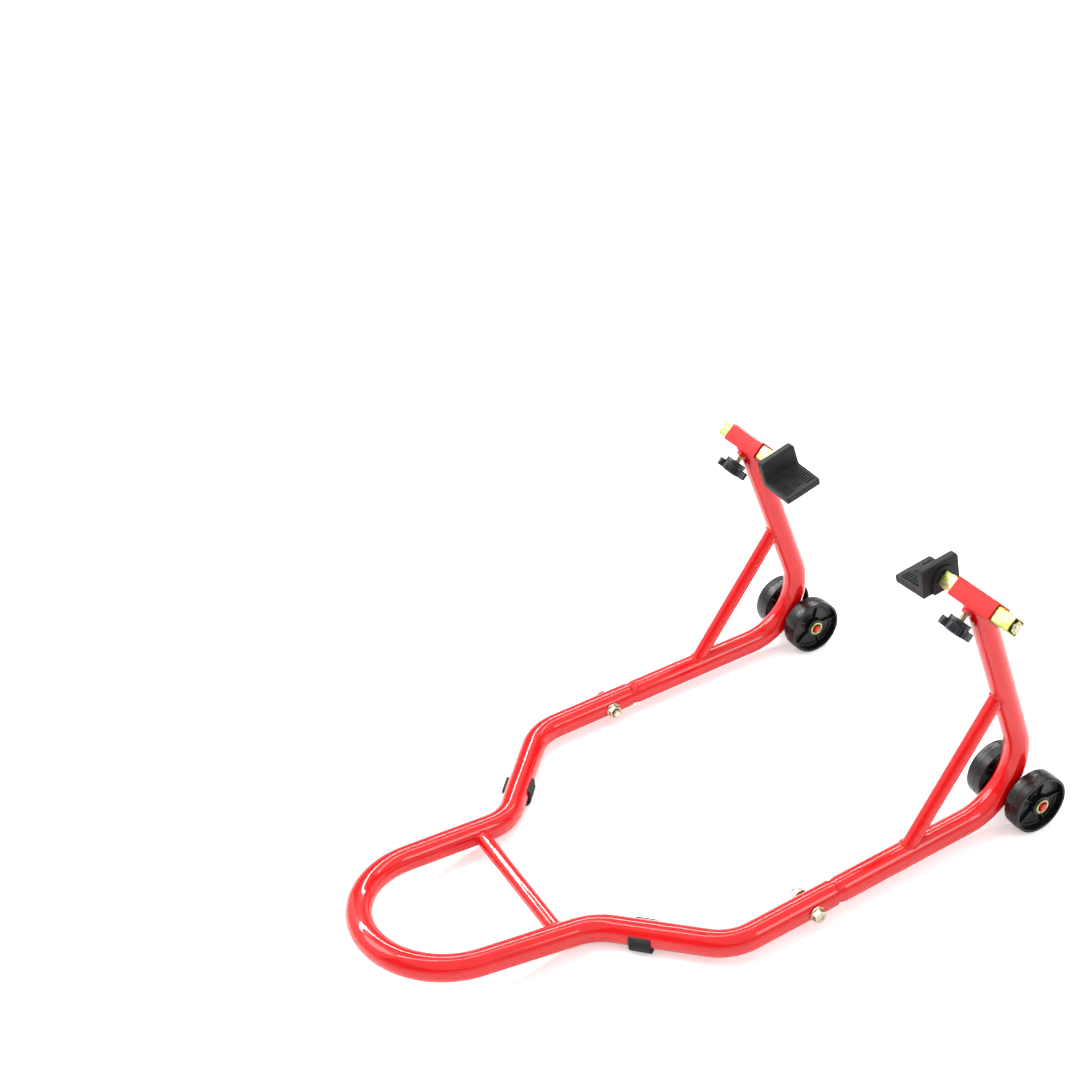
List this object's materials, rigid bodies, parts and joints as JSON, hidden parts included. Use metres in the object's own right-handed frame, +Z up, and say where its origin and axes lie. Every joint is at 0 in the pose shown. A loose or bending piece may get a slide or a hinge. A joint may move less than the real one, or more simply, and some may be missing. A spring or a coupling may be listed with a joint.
{
  "type": "motorcycle paddock stand",
  "caption": "Rear paddock stand: bent tube handle and arms, braced uprights with sliding square bars and swivelling L-shaped rubber pads, clamp knobs and twin wheels at each side.",
  "frame": {"origin": "on the floor, on the stand's middle plane, halfway along its length", "axes": "+Z up, +Y from the handle towards the wheels, +X towards the stand's right side"},
  "size_m": [0.5712, 0.822, 0.371],
  "materials": {
    "red_enamel": "gloss",
    "yellow_zinc": "satin",
    "bright_zinc": "satin",
    "black_nylon": "satin",
    "black_rubber": "matt",
    "knob_plastic": "satin",
    "white_nylon": "satin"
  },
  "bodies": {
    "frame": {"handle_tube": "red_enamel", "handle_crossbar": "red_enamel", "arm_right": "red_enamel", "arm_left": "red_enamel", "brace_right": "red_enamel", "brace_left": "red_enamel", "joint_bolt_right": "bright_zinc", "joint_bolt_left": "bright_zinc", "joint_nut_right": "bright_zinc", "joint_nut_left": "bright_zinc", "nylon_inserts": "black_nylon", "joint_washers": "bright_zinc", "axle_right": "red_enamel", "axle_left": "red_enamel", "axle_boss_right": "red_enamel", "axle_boss_left": "red_enamel", "axle_spacers": "yellow_zinc", "axle_retainers": "yellow_zinc", "foot_right": "black_rubber", "foot_left": "black_rubber", "foot_screws": "bright_zinc", "sleeve_right": "red_enamel", "sleeve_left": "red_enamel", "clamp_nut_right": "red_enamel", "clamp_nut_left": "red_enamel"},
    "wheel_outer_right": {"wheel_outer_right": "black_nylon", "wheel_bush_outer_right": "white_nylon"},
    "wheel_outer_left": {"wheel_outer_left": "black_nylon", "wheel_bush_outer_left": "white_nylon"},
    "wheel_inner_right": {"wheel_inner_right": "black_nylon", "wheel_bush_inner_right": "white_nylon"},
    "wheel_inner_left": {"wheel_inner_left": "black_nylon", "wheel_bush_inner_left": "white_nylon"},
    "stud_right": {"clamp_stud_right": "bright_zinc"},
    "stud_left": {"clamp_stud_left": "bright_zinc"},
    "knob_right": {"clamp_knob_right": "knob_plastic"},
    "knob_left": {"clamp_knob_left": "knob_plastic"},
    "slide_right": {"slide_bar_right": "yellow_zinc", "bar_end_plates_right": "yellow_zinc"},
    "pad_right": {"pad_bracket_right": "yellow_zinc", "pad_rubber_right": "black_rubber", "pad_spindle_right": "bright_zinc", "spindle_washers_right": "bright_zinc", "spindle_nut_right": "bright_zinc"},
    "slide_left": {"slide_bar_left": "yellow_zinc", "bar_end_plates_left": "yellow_zinc"},
    "pad_left": {"pad_bracket_left": "yellow_zinc", "pad_rubber_left": "black_rubber", "pad_spindle_left": "bright_zinc", "spindle_washers_left": "bright_zinc", "spindle_nut_left": "bright_zinc"}
  },
  "joints": [
    {"name": "wheel_outer_right_spin", "type": "hinge", "parent": "frame", "child": "wheel_outer_right", "pos_m": [0.2628, 0.372, 0.039], "axis": [1, 0, 0], "continuous": true},
    {"name": "wheel_inner_right_spin", "type": "hinge", "parent": "frame", "child": "wheel_inner_right", "pos_m": [0.1942, 0.372, 0.039], "axis": [1, 0, 0], "continuous": true},
    {"name": "slide_bar_right_slide", "type": "slide", "parent": "frame", "child": "slide_right", "axis": [1, 0, 0], "range_m": [-0.025, 0.0193]},
    {"name": "pad_right_swivel", "type": "hinge", "parent": "slide_right", "child": "pad_right", "pos_m": [0.172, 0.3026, 0.3428], "axis": [1, 0, 0], "continuous": true},
    {"name": "clamp_stud_right_slide", "type": "slide", "parent": "frame", "child": "stud_right", "axis": [0, -0.7314, -0.682], "range_m": [0, 0.00401]},
    {"name": "clamp_knob_right_turn", "type": "hinge", "parent": "stud_right", "child": "knob_right", "pos_m": [0.223, 0.28112, 0.32551], "axis": [0, -0.7314, -0.682], "range_deg": [0, 1152]},
    {"name": "wheel_outer_left_spin", "type": "hinge", "parent": "frame", "child": "wheel_outer_left", "pos_m": [-0.2628, 0.372, 0.039], "axis": [1, 0, 0], "continuous": true},
    {"name": "wheel_inner_left_spin", "type": "hinge", "parent": "frame", "child": "wheel_inner_left", "pos_m": [-0.1942, 0.372, 0.039], "axis": [1, 0, 0], "continuous": true},
    {"name": "slide_bar_left_slide", "type": "slide", "parent": "frame", "child": "slide_left", "axis": [-1, 0, 0], "range_m": [-0.016, 0.0283]},
    {"name": "pad_left_swivel", "type": "hinge", "parent": "slide_left", "child": "pad_left", "pos_m": [-0.163, 0.3026, 0.3428], "axis": [1, 0, 0], "continuous": true},
    {"name": "clamp_stud_left_slide", "type": "slide", "parent": "frame", "child": "stud_left", "axis": [0, -0.7314, -0.682], "range_m": [0, 0.00401]},
    {"name": "clamp_knob_left_turn", "type": "hinge", "parent": "stud_left", "child": "knob_left", "pos_m": [-0.223, 0.28112, 0.32551], "axis": [0, -0.7314, -0.682], "range_deg": [0, 1152]}
  ],
  "couplings": [
    {"joint": "clamp_stud_right_slide", "follows": "clamp_knob_right_turn", "m_per_rad": 0.00019894},
    {"joint": "clamp_stud_left_slide", "follows": "clamp_knob_left_turn", "m_per_rad": 0.00019894}
  ]
}
